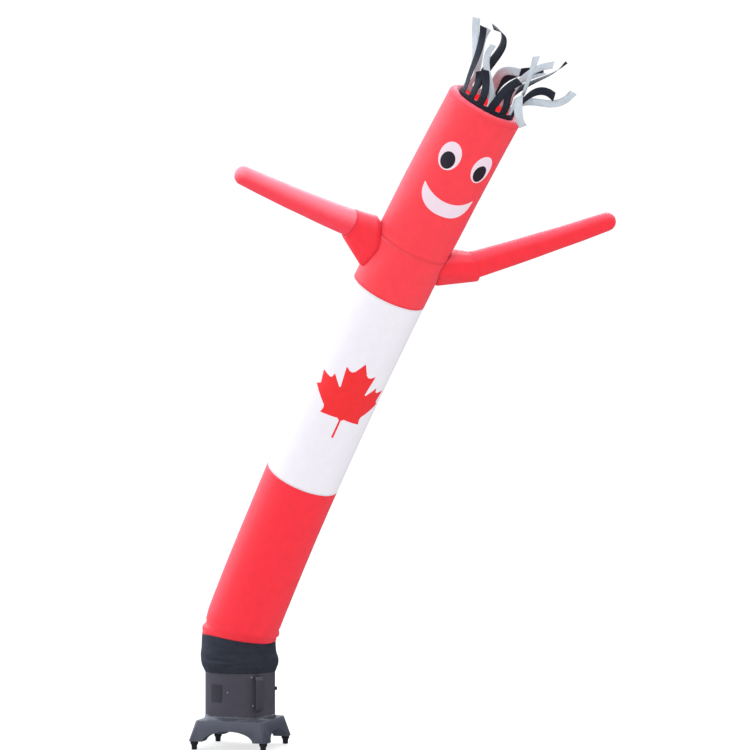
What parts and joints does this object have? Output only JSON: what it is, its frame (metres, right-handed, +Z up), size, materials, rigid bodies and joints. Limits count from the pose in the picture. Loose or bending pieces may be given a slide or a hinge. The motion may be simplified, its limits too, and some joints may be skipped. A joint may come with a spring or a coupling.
{
  "type": "inflatable air dancer on a blower",
  "caption": "Inflated cloth tube figure with arms, a printed smiling face, a leaf on a white band and a fringe of streamers, leaning over the plastic blower that keeps it up.",
  "frame": {"origin": "middle of the bounding box, on the ground under the feet", "axes": "+Z up, the face looks towards -Y, the figure leans to +X and -Y"},
  "size_m": [1.7204, 1.1936, 2.9022],
  "materials": {
    "lower_panel": "light red woven nylon, soft sheen",
    "white_panel": "light white woven nylon with a printed red leaf",
    "torso_panel": "light red woven nylon, soft sheen",
    "head_panel": "light red woven nylon with a printed face",
    "crown": "light red woven nylon, gathered",
    "arm_left": "light red woven nylon, soft sheen",
    "arm_right": "light red woven nylon, soft sheen",
    "cuff_left": "light red woven nylon, soft sheen",
    "cuff_right": "light red woven nylon, soft sheen",
    "hair_black": "black woven nylon, cut in streamers",
    "hair_grey": "pale grey woven nylon, cut in streamers",
    "collar": "black woven nylon",
    "blower_barrel": "black moulded plastic, satin",
    "blower_base": "black moulded plastic, satin",
    "foot_front_left": "black rubber",
    "foot_front_right": "black rubber",
    "foot_back_left": "black rubber",
    "foot_back_right": "black rubber",
    "handle": "black moulded plastic, satin",
    "side_plate": "matt black plastic",
    "barrel_screw": "dark screw head",
    "side_knob": "black plastic"
  },
  "bodies": {
    "root": {"lower_panel": "lower_panel", "white_panel": "white_panel", "torso_panel": "torso_panel", "head_panel": "head_panel", "crown": "crown", "arm_left": "arm_left", "arm_right": "arm_right", "cuff_left": "cuff_left", "cuff_right": "cuff_right", "hair_black": "hair_black", "hair_grey": "hair_grey", "collar": "collar", "blower_barrel": "blower_barrel", "blower_base": "blower_base", "foot_front_left": "foot_front_left", "foot_front_right": "foot_front_right", "foot_back_left": "foot_back_left", "foot_back_right": "foot_back_right", "handle": "handle", "side_plate": "side_plate", "barrel_screw": "barrel_screw", "side_knob": "side_knob"}
  },
  "joints": []
}
